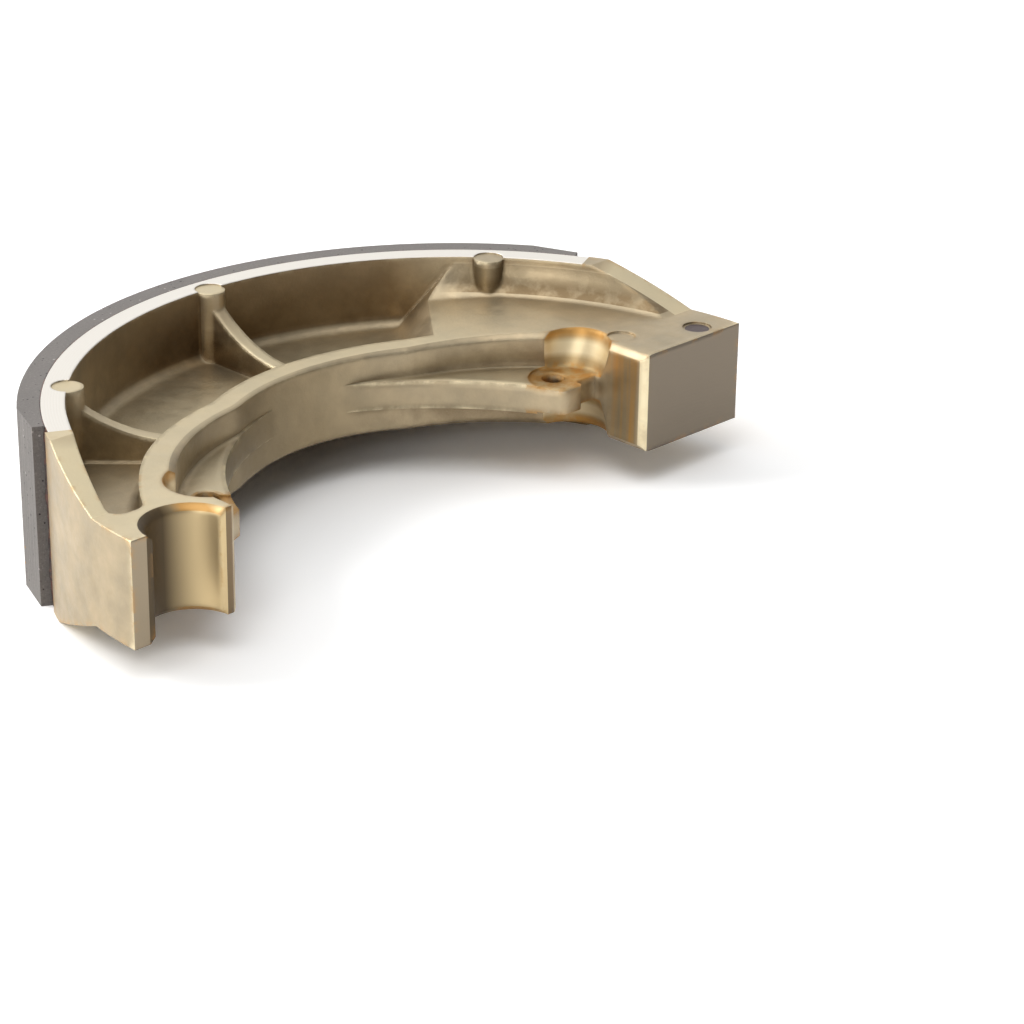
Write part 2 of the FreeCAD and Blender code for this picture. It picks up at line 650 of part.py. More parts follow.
for item in doc.Objects:
    if {"Invalid", "Error"} & set(item.State):
        raise RuntimeError(f"{item.Name} is not sound: {item.State}")
for piece in PIECES:
    if piece.Shape.isNull() or not piece.Shape.isValid():
        raise RuntimeError(f"{piece.Label} has no valid shape")
for piece in PIECES:
    piece.Shape.exportStep(f"parts/{piece.Label}.step")
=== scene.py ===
"""Drum brake shoe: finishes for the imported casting, lining and adhesive, with the fine detail round them.

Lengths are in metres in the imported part's frame: the drum's axis is Z, the shoe's lower side is at
z = 0, Y points out through the middle of the lining and X to the cam end. Angles are taken from Y.
"""

import math

import bpy
import numpy as np
from bpy.props import FloatProperty, FloatVectorProperty, PointerProperty
from mathutils import Euler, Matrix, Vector


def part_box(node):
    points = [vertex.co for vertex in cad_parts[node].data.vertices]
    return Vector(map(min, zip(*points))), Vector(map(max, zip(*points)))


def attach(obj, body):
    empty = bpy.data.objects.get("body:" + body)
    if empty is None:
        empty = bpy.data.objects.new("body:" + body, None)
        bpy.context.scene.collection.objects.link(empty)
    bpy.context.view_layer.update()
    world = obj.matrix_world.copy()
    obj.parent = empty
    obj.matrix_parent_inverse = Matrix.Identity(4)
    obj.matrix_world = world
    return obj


bl_info = {
    "name": "Drum Brake Shoe",
    "version": (1, 0, 0),
    "blender": (4, 5, 0),
    "location": "3D View > Sidebar > Brake Shoe",
    "description": "Finishes and fine detail for a cast drum brake shoe with a bonded lining",
    "category": "Object",
}

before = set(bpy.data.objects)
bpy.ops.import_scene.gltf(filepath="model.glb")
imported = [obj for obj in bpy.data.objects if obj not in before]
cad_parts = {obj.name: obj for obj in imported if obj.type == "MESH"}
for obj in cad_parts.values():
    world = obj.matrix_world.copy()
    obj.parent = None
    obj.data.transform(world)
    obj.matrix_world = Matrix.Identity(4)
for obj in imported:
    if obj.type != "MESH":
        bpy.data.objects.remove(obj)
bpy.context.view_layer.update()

MM = 0.001
DEGREE = math.pi / 180

# A length, angle or share below any that the shoe has, and one above
UNDER = -1.0
OVER = 2.0

# A point this near to a face counts as on it
ON_FACE = 0.05 * MM

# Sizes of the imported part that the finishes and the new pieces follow
SHOE_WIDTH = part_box("shoe_casting")[1].z
HALF_WIDTH = SHOE_WIDTH / 2
LINING_RADIUS = 64.8 * MM
FILM_HALF_ANGLE = 61.55 * DEGREE
TURNED_RADIUS = 61.4 * MM
TURNED_HALF_ANGLE = 63.4 * DEGREE
RIM_INNER_RADIUS = 57.95 * MM
ARM_RADIUS = 61.8 * MM
END_FACE_Y = 0.5 * MM
BLOCK_TOP = 8.15 * MM
CHEEK_X = 39.8 * MM
DECK_HEIGHT = 8.6 * MM
SEAT_CENTRE = (-52.2 * MM, 0.0)
SEAT_REACH = 6.92 * MM
SPOT_FLOOR = 2.0 * MM
SPOT_LEAN = math.tan(20 * DEGREE)

# Centre and radius of the round features, and the lean of the spot faces
SPOTS = ((34.9 * MM, 13.2 * MM, 5.8 * MM, SPOT_LEAN), (-38.3 * MM, 9.9 * MM, 6.4 * MM, -SPOT_LEAN))
HOLE_RIMS = ((34.0 * MM, 14.8 * MM, 2.5 * MM), (-36.3 * MM, 15.4 * MM, 2.5 * MM))
DARK_MARK = (55.6 * MM, 4.0 * MM, 1.9 * MM)

# How far the finishes reach
RUBBING_DEPTH = 1.6 * MM
SPOT_MOUTH_WIDTH = 1.1 * MM
SEAT_MOUTH_DEPTH = 0.85 * MM
MARK_DEPTH = 0.4 * MM
MARK_MARGIN = 1.0 * MM
CORNER_WIDTH = 1.3 * MM
CHEEK_REACH = (0.0, CHEEK_X + 1.4 * MM)
CHEEK_STRIP_WIDTH = 1.2 * MM
RIM_WALL_DEPTH = 0.5 * MM
COVE_TOP = HALF_WIDTH - 1.2 * MM
COVE_ARC_END = 80 * DEGREE
HUB_SIDE_TOP = 7.2 * MM
HUB_LIP = (-46.5 * MM, -40 * MM)
SHELF_RADIUS = 42 * MM
SHELF_TOP = 4.8 * MM
HOLLOW_REACH = 16 * MM
EDGE_REACH = 1.3 * MM

# Soft limits of the finishes: each finish is weakest at the first value and strongest at the second
CHEEK_SIDE = (CHEEK_X - 2.4 * MM, CHEEK_X - 0.2 * MM)
CHEEK_LOW = (1.6 * MM, 2.4 * MM)
CHEEK_HIGH = (9.0 * MM, 6.0 * MM)
HUB_SIDE_RADII = (43.5 * MM, 42.5 * MM)
HUB_SIDE_RISE = (12 * MM, 20 * MM)
HUB_SIDE_ARC = (30 * DEGREE, 5 * DEGREE)
RIM_WALL_START = (-40 * DEGREE, -5 * DEGREE)
RIM_WALL_END = (40 * DEGREE, 32 * DEGREE)
ARM_START = (66 * DEGREE, 68 * DEGREE)
COVE_START = (40 * DEGREE, 45 * DEGREE)
COVE_RADII = (52.0 * MM, 54.0 * MM)
COVE_FOOT = (DECK_HEIGHT + 2.8 * MM, DECK_HEIGHT + 1.2 * MM)
# Arc over which the painted shade in hollows grows from weak to full
HOLLOW_SHADE_ARC = (-60 * DEGREE, -10 * DEGREE)
CROWN_SIDE = (45 * MM, 20 * MM)
PIVOT_SIDE = (0.0, -20 * MM)
NEAR_LINING = (67 * DEGREE, 63.6 * DEGREE)
ARM_FACE_RADII = (60 * MM, 61.6 * MM)
RUST_ARC = (62.75 * DEGREE, 62.35 * DEGREE)
SPOT_WALL_TOP = (6.3 * MM, 7.3 * MM)
SPOT_WALL_FOOT = (3.2 * MM, 2.2 * MM)
SPOT_BAND_LOW = (3.4 * MM, 4.4 * MM)
SPOT_BAND_HIGH = (6.8 * MM, 5.8 * MM)
SEAT_STAIN_LEFT = (-50.5 * MM, -49.0 * MM)
SEAT_STAIN_RIGHT = (-45.4 * MM, -46.4 * MM)
# Across the seat, from where its painted shade is absent to where it is full
SEAT_SHADE_SIDE = (-46.8 * MM, -52.0 * MM)
RIM_EDGE_RADII = (58 * MM, 55 * MM)
INSIDE_RIM = (58.5 * MM, 57.0 * MM)
OFF_END_FACES = (3.0 * MM, 6.0 * MM)

# Sizes of the cloudy patterns, and depths of the relief
MOTTLE_SIZE = 7 * MM
BLOTCH_SIZE = 2.4 * MM
RUN_WIDTH = 2.0 * MM
LINING_MOTTLE_SIZE = 5 * MM
BURN_SIZE = 1.6 * MM
BUBBLE_SIZE = 0.4 * MM
CAST_RELIEF = 0.035 * MM
LINING_RELIEF = 0.06 * MM
RESIN_RELIEF = 0.06 * MM

# Pitch of the cutters' lines, drawn as coarse as they need to show, and how far the lines wander
LATHE_PITCH = 0.42 * MM
LATHE_WANDER = 0.2 * MM
MILL_PITCH = 0.7 * MM
MILL_WANDER = 2.0 * MM

LIGHT_SAMPLES = 4
RESIN_IOR = 1.56

# Studio
FLOOR_REACH = 4.0
FLOOR_SEEN = (1.12, 1.12, 1.12, 1.0)
PAPER_FIBRE_SIZE = 30 * MM
BACKDROP_SIDE = (0.15, 0.90, 0.41)
BACKDROP_LIMITS = (-0.3, 0.9)
LAMP_AIM = (0, 0.02, 0.01)
FILM_WIDTH = 36


def linear(code):
    """sRGB hex colour as linear red, green and blue with full alpha."""
    channels = np.array([int(code[place:place + 2], 16) for place in (1, 3, 5)]) / 255
    curve = np.where(channels <= 0.04045, channels / 12.92, ((channels + 0.055) / 1.055) ** 2.4)
    return (*curve.tolist(), 1.0)


def colour(name, description, code):
    return FloatVectorProperty(name=name, description=description, default=linear(code),
                               size=4, min=0, max=1, subtype="COLOR")


def length(name, description, default):
    return FloatProperty(name=name, description=description, default=default, min=0, unit="LENGTH")


class CastingLook(bpy.types.PropertyGroup):
    """Skin of the die-casting, its machined faces and its flash, and the shade and highlights painted on
    them.
    """
    tan: colour("Tan skin", "Chromated skin where it is thickest", "#BCAA8B")
    grey: colour("Grey skin", "Chromated skin where it is thin", "#A89A80")
    # Dark golden brown laid as painted shade: in hollows, on the rim's inner wall, along the foot of the cove
    # and on the pivot block's far lip
    gold_shade: colour("Gold hollows", "Chromate that has pooled in hollows", "#604724")
    stain: colour("Orange stain", "Brown-orange runs beside machined faces", "#B8843A")
    # Cream laid as painted highlight on level tops, on the arms' sloping tops, on the spot faces' walls and
    # along edges; along the edges it also stands for wear
    highlight_and_wear: colour("Worn edge", "Edges rubbed bright", "#F3E4BE")
    machined: colour("Machined", "Faces cut after casting", "#F4EFE6")
    spot: colour("Spot faces", "Seats cut round the spring holes", "#C4A66F")
    # The end faces' own cut grey-brown, darkened with painted shade
    milled_shade: colour("Milled ends", "End faces, cut before the film was laid", "#7A6F60")
    reamed: colour("Reamed seat", "Seat of the anchor pin", "#D6BF92")
    # Dark brown laid as painted shade on the left half of the anchor seat
    seat_shade: colour("Seat film", "Brown film in the anchor seat, away from its hub side", "#3A2A15")
    mark: colour("Dark mark", "Dark round mark on the cam block", "#5F5352")
    golden: colour("Golden arm", "Thick film on the cam arm's outer face", "#D9AC5C")
    # Greyish brown laid as painted shade on the flange's hub side, on the cove and on the cam block's cheek
    dull_shade: colour("Dull hub side", "Film on the flange's hub side", "#7E6E50")
    burnt: colour("Burnt adhesive", "Adhesive on the rim past the lining's ends", "#35231A")
    rust: colour("Brown adhesive", "Thin adhesive beside the lining", "#8C6248")
    grain: length("Casting grain", "Size of the skin's fine grain", 0.45 * MM)
    edge_radius: length("Edge radius", "Rounding of the outer edges that the mould leaves", 0.4 * MM)
    bead_radius: length("Bead radius", "Rounding along the flange and in the channel", 1.1 * MM)
    shelf_radius: length("Shelf radius", "Rounding at the shelves inside the flange", 2.0 * MM)
    flash_width: length("Flash width", "Width of the parting flash on the cam arm", 0.9 * MM)
    flash_height: length("Flash height", "Thickness of the flash, of which half stands proud", 0.12 * MM)


class LiningLook(bpy.types.PropertyGroup):
    """Moulded friction material, ground on its rubbing face."""
    matrix: colour("Matrix", "Moulded resin and filler", "#76716D")
    ground: colour("Ground face", "Matrix where it has been ground", "#6B6764")
    fibre: colour("Fibres", "Pale fibres and mineral specks", "#B4AFAA")
    brass: colour("Brass chips", "Brass chips in the matrix", "#B08A50")
    pit: colour("Pits", "Graphite and open pits", "#2B2826")
    grain: length("Grain", "Size of the matrix's grain", 0.35 * MM)
    speck: length("Speck size", "Size of the larger specks", 1.1 * MM)
    chatter: length("Chatter pitch", "Distance between the grinding lines", 0.9 * MM)


class AdhesiveLook(bpy.types.PropertyGroup):
    """Cured adhesive between the lining and the rim."""
    resin: colour("Resin", "Cured phenolic adhesive", "#5A2F1C")
    char: colour("Dark resin", "Adhesive burnt dark in curing", "#2A1912")
    squeeze_width: length("Squeeze-out width", "Reach of the bead past the lining's end", 0.42 * MM)
    squeeze_height: length("Squeeze-out height", "Height of the bead on the rim", 0.36 * MM)


class StudioLook(bpy.types.PropertyGroup):
    """Floor, lamps and camera."""
    floor: colour("Floor", "Pale floor", "#A6A4A0")
    fibre: colour("Floor fibres", "Pale fibres in the floor's paper", "#F2F0EC")
    camera_place: FloatVectorProperty(name="Camera place", description="Where the camera stands",
                                      default=(-0.29544, -0.30297, 0.19490), unit="LENGTH")
    camera_turn: FloatVectorProperty(name="Camera turn", description="Which way the camera looks",
                                     default=(66.176 * DEGREE, -0.757 * DEGREE, -44.923 * DEGREE),
                                     subtype="EULER")
    focal_length: FloatProperty(name="Focal length", default=109.24, min=10,
                                description="Focal length in millimetres on a 36 mm film")
    front_light: FloatProperty(name="Front light", default=0.18, min=0,
                               description="Strength of the even light from the front")
    back_light: FloatProperty(name="Back light", default=1.0, min=0,
                              description="Strength of the even light from behind")
    key_power: FloatProperty(name="Key lamp", default=19, min=0, unit="POWER",
                             description="Power of the large lamp behind on the left")
    fill_power: FloatProperty(name="Fill lamp", default=6, min=0, unit="POWER",
                              description="Power of the lamp in front on the left")
    top_power: FloatProperty(name="Top lamp", default=6, min=0, unit="POWER",
                             description="Power of the lamp above")


def add_node(tree, kind, settings=None, links=None):
    """Node with its settings; each link gives an input either another node's socket or a plain value."""
    node = tree.nodes.new(kind)
    for name, value in (settings or {}).items():
        setattr(node, name, value)
    for name, value in (links or {}).items():
        if isinstance(value, bpy.types.NodeSocket):
            tree.links.new(value, node.inputs[name])
        else:
            node.inputs[name].default_value = value
    return node


def new_material(name):
    material = bpy.data.materials.new(name)
    material.use_nodes = True
    material.node_tree.nodes.clear()
    return material, material.node_tree


def close_material(tree, shader):
    add_node(tree, "ShaderNodeOutputMaterial", links={"Surface": shader.outputs[0]})


def give_finish(piece, material):
    """Gives a piece one material in all its slots."""
    slots = piece.data.materials
    if not slots:
        slots.append(material)
    for index in range(len(slots)):
        slots[index] = material


def within(tree, value, low, high):
    """Mask with hard limits: 1 where a value lies between two others, else 0."""
    limits = {0: value, 1: (low + high) / 2, 2: (high - low) / 2}
    return add_node(tree, "ShaderNodeMath", {"operation": "COMPARE"}, limits).outputs[0]


def fading(tree, value, absent, full, least=0.0, most=1.0):
    """Mask with soft limits: least at one value, most at another, even between and held past them."""
    limits = {"Value": value, "From Min": absent, "From Max": full, "To Min": least, "To Max": most}
    return add_node(tree, "ShaderNodeMapRange", links=limits).outputs[0]


def overlap(tree, first, *others):
    """Product of masks: 1 where all of them are. A plain number among them thins the rest."""
    for other in others:
        first = add_node(tree, "ShaderNodeMath", {"operation": "MULTIPLY"}, {0: first, 1: other}).outputs[0]
    return first


def union(tree, first, *others):
    """Largest of masks: 1 where one of them is."""
    for other in others:
        first = add_node(tree, "ShaderNodeMath", {"operation": "MAXIMUM"}, {0: first, 1: other}).outputs[0]
    return first


def painted(tree, under, *coats):
    """Colour with further colours laid over it, each where its mask is 1."""
    for mask, coat in coats:
        mix = {"Factor": mask, 6: under, 7: coat}
        under = add_node(tree, "ShaderNodeMix", {"data_type": "RGBA"}, mix).outputs[2]
    return under


def cloudy(tree, coords, size, detail=2.0, roughness=0.5):
    """Pattern whose lumps are about as large as the size, and whose values lie between about 0.3 and 0.7."""
    inputs = {"Vector": coords, "Scale": 1 / size, "Detail": detail, "Roughness": roughness}
    return add_node(tree, "ShaderNodeTexNoise", links=inputs).outputs[0]


def streaks(tree, across, along, width, share, detail, roughness):
    """Cloudy pattern drawn out in one direction, in which only a share of each length counts."""
    drawn_out = add_node(tree, "ShaderNodeMath", {"operation": "MULTIPLY"}, {0: along, 1: share}).outputs[0]
    coords = add_node(tree, "ShaderNodeCombineXYZ", links={"X": across, "Y": drawn_out}).outputs[0]
    return cloudy(tree, coords, width, detail, roughness)


def specks(tree, coords, spacing, share, size):
    """1 on a share of small spots, one to each cell of the spacing, and their size as part of a cell."""
    cells = add_node(tree, "ShaderNodeTexVoronoi", links={"Vector": coords, "Scale": 1 / spacing})
    pick = add_node(tree, "ShaderNodeSeparateColor", links={0: cells.outputs["Color"]}).outputs[0]
    chosen = within(tree, pick, UNDER, share)
    return overlap(tree, chosen, fading(tree, cells.outputs["Distance"], size, size * 0.7))


def cutter_lines(tree, value, pitch, wander, amount):
    """Sine of a length, one wave to each pitch, shifted by a cloudy pattern."""
    shift = add_node(tree, "ShaderNodeMath", {"operation": "MULTIPLY_ADD"},
                     {0: wander, 1: amount, 2: value}).outputs[0]
    turn = add_node(tree, "ShaderNodeMath", {"operation": "MULTIPLY"},
                    {0: shift, 1: 2 * math.pi / pitch}).outputs[0]
    wave = add_node(tree, "ShaderNodeMath", {"operation": "SINE"}, {0: turn}).outputs[0]
    return fading(tree, wave, -1.0, 1.0)


class Place:
    """Where a point of the shoe is: its place, its radius and angle round the drum's axis, and its
    height above or below the middle plane."""

    def __init__(self, tree):
        self.coords = add_node(tree, "ShaderNodeTexCoord").outputs["Object"]
        split = add_node(tree, "ShaderNodeSeparateXYZ", links={0: self.coords})
        self.x, self.y, self.z = split.outputs
        self.plan = add_node(tree, "ShaderNodeVectorMath", {"operation": "MULTIPLY"},
                             {0: self.coords, 1: (1, 1, 0)}).outputs[0]
        self.radius = add_node(tree, "ShaderNodeVectorMath", {"operation": "LENGTH"},
                               {0: self.plan}).outputs["Value"]
        self.swing = add_node(tree, "ShaderNodeMath", {"operation": "ARCTAN2"},
                              {0: self.x, 1: self.y}).outputs[0]
        self.angle = add_node(tree, "ShaderNodeMath", {"operation": "ABSOLUTE"}, {0: self.swing}).outputs[0]
        lift = add_node(tree, "ShaderNodeMath", {"operation": "SUBTRACT"},
                        {0: self.z, 1: HALF_WIDTH}).outputs[0]
        self.height = add_node(tree, "ShaderNodeMath", {"operation": "ABSOLUTE"}, {0: lift}).outputs[0]


def round_patch(tree, place, centre_x, centre_y, reach, lean=0.0):
    """1 inside an upright cylinder, or in one whose axis leans along X as it leaves the spot faces' floor."""
    rise = add_node(tree, "ShaderNodeMath", {"operation": "SUBTRACT"},
                    {0: place.height, 1: SPOT_FLOOR}).outputs[0]
    centre = add_node(tree, "ShaderNodeMath", {"operation": "MULTIPLY_ADD"},
                      {0: rise, 1: lean, 2: centre_x}).outputs[0]
    axis = add_node(tree, "ShaderNodeCombineXYZ", links={"X": centre, "Y": centre_y}).outputs[0]
    gap = add_node(tree, "ShaderNodeVectorMath", {"operation": "DISTANCE"},
                   {0: place.plan, 1: axis}).outputs["Value"]
    return within(tree, gap, UNDER, reach + ON_FACE)


class SkinPatterns:
    """Patterns of the casting's skin, and how hollow, how near an edge and how level a point is."""

    def __init__(self, tree, place, grain):
        self.mottle = cloudy(tree, place.coords, MOTTLE_SIZE, 4.0, 0.6)
        self.blotch = cloudy(tree, place.coords, BLOTCH_SIZE, 3.0, 0.6)
        self.grain = cloudy(tree, place.coords, grain, 3.0, 0.65)
        open_air = add_node(tree, "ShaderNodeAmbientOcclusion", {"samples": LIGHT_SAMPLES},
                            {"Distance": HOLLOW_REACH}).outputs["AO"]
        self.hollow = fading(tree, open_air, 0.80, 0.25)
        metal_below = add_node(tree, "ShaderNodeAmbientOcclusion", {"samples": LIGHT_SAMPLES, "inside": True},
                               {"Distance": EDGE_REACH}).outputs["AO"]
        self.edge = fading(tree, metal_below, 0.80, 0.45)
        facing = add_node(tree, "ShaderNodeNewGeometry").outputs["Normal"]
        tilt = add_node(tree, "ShaderNodeSeparateXYZ", links={0: facing}).outputs["Z"]
        self.level = add_node(tree, "ShaderNodeMath", {"operation": "ABSOLUTE"}, {0: tilt}).outputs[0]
        self.upright = fading(tree, self.level, 0.5, 0.3)


class CutFaces:
    """Masks of the faces that are cut after casting, of the marks beside them, and of the painted shade in
    the seat.
    """

    def __init__(self, tree, place):
        rim_arc = within(tree, place.angle, UNDER, TURNED_HALF_ANGLE)
        sides = within(tree, place.height, HALF_WIDTH - ON_FACE, HALF_WIDTH + ON_FACE)
        self.rim_side = overlap(tree, sides, rim_arc)
        outer = within(tree, place.radius, TURNED_RADIUS - ON_FACE, TURNED_RADIUS + ON_FACE)
        self.turned = overlap(tree, outer, rim_arc)
        self.past_lining = overlap(tree, self.turned, within(tree, place.angle, FILM_HALF_ANGLE, OVER))
        self.end_face = within(tree, place.y, UNDER, END_FACE_Y + ON_FACE)
        self.seat = round_patch(tree, place, *SEAT_CENTRE, SEAT_REACH)
        # Painted shade over the seat's left half, fading out towards its right side
        self.seat_shade_mask = overlap(tree, self.seat, fading(tree, place.x, *SEAT_SHADE_SIDE, 0.0, 0.92))
        above_floor = within(tree, place.height, SPOT_FLOOR - ON_FACE, OVER)
        self.spots = union(tree, *[overlap(tree, round_patch(tree, place, *spot), above_floor)
                                   for spot in SPOTS])
        self.spot_mouths = union(tree, *[round_patch(tree, place, x, y, reach + SPOT_MOUTH_WIDTH, lean)
                                         for x, y, reach, lean in SPOTS])
        self.hole_rims = union(tree, *[round_patch(tree, place, *rim) for rim in HOLE_RIMS])
        block_top = HALF_WIDTH + BLOCK_TOP
        self.dark_mark = overlap(tree, round_patch(tree, place, *DARK_MARK),
                                 within(tree, place.z, block_top - MARK_DEPTH, block_top + ON_FACE))
        self.white = union(tree, self.rim_side, self.turned)
        self.all = union(tree, self.white, self.end_face, self.seat, self.spots)


class CastFaces:
    """Masks of the faces left as cast: where the film is thicker or thinner than elsewhere, and where shade
    and highlights are painted.
    """

    def __init__(self, tree, place, skin):
        # Painted shade in hollows, strongest on upright faces and weaker towards the pivot end
        self.hollow_shade = overlap(tree, skin.hollow, fading(tree, skin.mottle, 0.35, 0.60, 0.35, 1.0),
                              fading(tree, skin.level, 0.3, 0.9, 1.0, 0.25),
                              fading(tree, place.swing, *HOLLOW_SHADE_ARC, 0.25, 1.0))
        # Painted highlight on level tops out in the open, weaker towards the cam end
        self.crown_highlight = overlap(tree, fading(tree, skin.level, 0.80, 0.98), fading(tree, skin.hollow, 0.3, 0.0),
                             fading(tree, place.x, *CROWN_SIDE, 0.05, 0.50))
        self.cheek = overlap(tree, skin.upright, fading(tree, place.x, *CHEEK_SIDE),
                             within(tree, place.x, *CHEEK_REACH))
        self.cheek_shade = overlap(tree, self.cheek, fading(tree, place.y, *CHEEK_LOW),
                                   fading(tree, place.y, *CHEEK_HIGH), 0.75)
        runs = streaks(tree, place.y, place.z, RUN_WIDTH, 0.05, 2.0, 0.6)
        self.cheek_runs = overlap(tree, self.cheek_shade, fading(tree, runs, 0.42, 0.62), 0.8)
        # Painted shade on the flange's upright faces turned towards the hub
        self.hub_side_shade = overlap(tree, skin.upright, fading(tree, place.radius, *HUB_SIDE_RADII, 0.0, 0.6),
                                fading(tree, place.y, *HUB_SIDE_RISE),
                                within(tree, place.height, UNDER, HUB_SIDE_TOP),
                                fading(tree, place.swing, *HUB_SIDE_ARC, 0.3, 1.0))
        # Painted shade on the rim's inner wall along the middle of the arc
        self.rim_wall_shade = overlap(tree, skin.upright,
                                within(tree, place.radius, RIM_INNER_RADIUS - RIM_WALL_DEPTH,
                                       RIM_INNER_RADIUS + ON_FACE),
                                fading(tree, place.swing, *RIM_WALL_START, 0.0, 0.6),
                                fading(tree, place.swing, *RIM_WALL_END))
        # Painted highlight on the arms' sloping tops past the lining
        self.arm_top_highlight = overlap(tree, fading(tree, skin.level, 0.4, 0.6), fading(tree, skin.level, 0.99, 0.95),
                               within(tree, place.radius, RIM_INNER_RADIUS, OVER),
                               fading(tree, place.angle, *ARM_START, 0.0, 0.55))
        self.cam_arm = overlap(tree, within(tree, place.radius, ARM_RADIUS - ON_FACE, OVER),
                               within(tree, place.swing, TURNED_HALF_ANGLE, OVER),
                               fading(tree, skin.mottle, 0.30, 0.50, 0.5, 0.85))
        self.cove = overlap(tree, fading(tree, place.swing, *COVE_START),
                            within(tree, place.swing, 0.0, COVE_ARC_END),
                            fading(tree, place.radius, *COVE_RADII),
                            within(tree, place.radius, 0.0, RIM_INNER_RADIUS),
                            within(tree, place.height, DECK_HEIGHT, COVE_TOP))
        # Painted shade along the foot of the cove, where it bends down into the deck
        self.cove_foot_shade = overlap(tree, self.cove, fading(tree, place.height, *COVE_FOOT),
                                   fading(tree, skin.blotch, 0.36, 0.56, 0.25, 0.85), 0.7)


def edge_highlights(tree, place, skin, cast):
    """Mask of painted highlights along edges, where they also stand for wear, at corners beside the end
    faces, and on the cheek's strip at the cam's end face.
    """
    # Painted highlight along convex edges, which there also stands for wear
    rubbed_and_lit = overlap(tree, skin.edge, fading(tree, skin.blotch, 0.42, 0.66),
                     fading(tree, place.radius, *RIM_EDGE_RADII, 0.35, 0.9))
    face = END_FACE_Y + ON_FACE
    # Painted highlight on the edges beside the end faces
    corner = overlap(tree, skin.edge, within(tree, place.y, face, END_FACE_Y + CORNER_WIDTH), 0.8)
    # Painted highlight on the cheek's rounded corner at the cam's end face
    strip = overlap(tree, cast.cheek, within(tree, place.y, face, END_FACE_Y + CHEEK_STRIP_WIDTH),
                    fading(tree, skin.mottle, 0.30, 0.45, 0.4, 0.9))
    round_mark = round_patch(tree, place, *DARK_MARK[:2], DARK_MARK[2] + MARK_MARGIN)
    unmarked = add_node(tree, "ShaderNodeMath", {"operation": "SUBTRACT"},
                        {0: 1.0, 1: round_mark}).outputs[0]
    return overlap(tree, union(tree, rubbed_and_lit, corner, strip), unmarked)


def orange_stains(tree, place, skin, cut):
    """Mask of the stains on the arms, round the spot faces and the holes, and at the mouth of the seat."""
    on_arms = within(tree, place.angle, TURNED_HALF_ANGLE, OVER)
    patches = fading(tree, skin.mottle, 0.34, 0.46)
    beside_lining = overlap(tree, on_arms, fading(tree, place.angle, *NEAR_LINING, 0.0, 0.55),
                            fading(tree, skin.blotch, 0.42, 0.62),
                            fading(tree, place.radius, *ARM_FACE_RADII))
    arm_edges = overlap(tree, on_arms, skin.edge, fading(tree, skin.blotch, 0.50, 0.58), 0.75)
    spot_tops = overlap(tree, cut.spots, fading(tree, place.height, *SPOT_WALL_TOP), patches)
    spot_floors = overlap(tree, cut.spots, fading(tree, place.height, *SPOT_WALL_FOOT),
                          fading(tree, skin.blotch, 0.38, 0.56))
    mouth_edges = overlap(tree, cut.spot_mouths, skin.edge, patches)
    holes = overlap(tree, cut.hole_rims, fading(tree, skin.blotch, 0.35, 0.55))
    seat_mouth = overlap(tree, cut.seat, within(tree, place.height, BLOCK_TOP - SEAT_MOUTH_DEPTH, OVER),
                         fading(tree, place.x, *SEAT_STAIN_LEFT), fading(tree, place.x, *SEAT_STAIN_RIGHT))
    stains = union(tree, beside_lining, arm_edges, spot_tops, spot_floors, mouth_edges, holes, seat_mouth)
    return overlap(tree, stains, 0.75)


def casting_colour(tree, look, place, skin, cut, cast):
    """Colour of the film on the faces left as cast, with painted shade and highlights, and the cut faces,
    stains and adhesive laid over it; the end faces and the seat's left half also get painted shade.
    """
    # Over the film: painted shade in greyish brown on the hub side, the cove and the cheek, and in dark
    # golden brown on the rim wall, in hollows and at the cove's foot; painted highlights in cream on tops,
    # the arms' sloping tops and edges
    film = painted(tree, look.tan, (fading(tree, skin.mottle, 0.35, 0.65), look.grey),
                   (cast.cam_arm, look.golden), (cast.hub_side_shade, look.dull_shade), (cast.rim_wall_shade, look.gold_shade),
                   (cast.hollow_shade, look.gold_shade), (overlap(tree, cast.cove, 0.45), look.dull_shade),
                   (cast.cove_foot_shade, look.gold_shade), (cast.cheek_shade, look.dull_shade),
                   (cast.cheek_runs, look.stain), (cast.crown_highlight, look.highlight_and_wear), (cast.arm_top_highlight, look.highlight_and_wear),
                   (edge_highlights(tree, place, skin, cast), look.highlight_and_wear))
    # Tan laid back over the end faces at the pivot end, so that they carry less of the painted shade
    pivot_lip = overlap(tree, cut.end_face, fading(tree, place.x, *PIVOT_SIDE), 0.35)
    # Painted shade on the pivot block's far lip
    hub_lip_shade = overlap(tree, cut.end_face, within(tree, place.x, *HUB_LIP), 0.6)
    # Painted highlight across the middle of the spot faces' walls
    spot_highlight = overlap(tree, cut.spots, fading(tree, place.height, *SPOT_BAND_LOW),
                        fading(tree, place.height, *SPOT_BAND_HIGH), 0.6)
    rusty = overlap(tree, cut.past_lining, fading(tree, place.angle, *RUST_ARC),
                    fading(tree, skin.blotch, 0.44, 0.54))
    # End faces in their cut grey-brown with painted shade, and painted shade on the seat's left half
    return painted(tree, film, (cut.end_face, look.milled_shade), (pivot_lip, look.tan), (hub_lip_shade, look.gold_shade),
                   (cut.seat, look.reamed), (cut.seat_shade_mask, look.seat_shade),
                   (overlap(tree, cut.spots, 0.5), look.spot), (spot_highlight, look.highlight_and_wear),
                   (orange_stains(tree, place, skin, cut), look.stain), (cut.white, look.machined),
                   (cut.past_lining, look.burnt), (rusty, look.rust), (cut.dark_mark, look.mark))


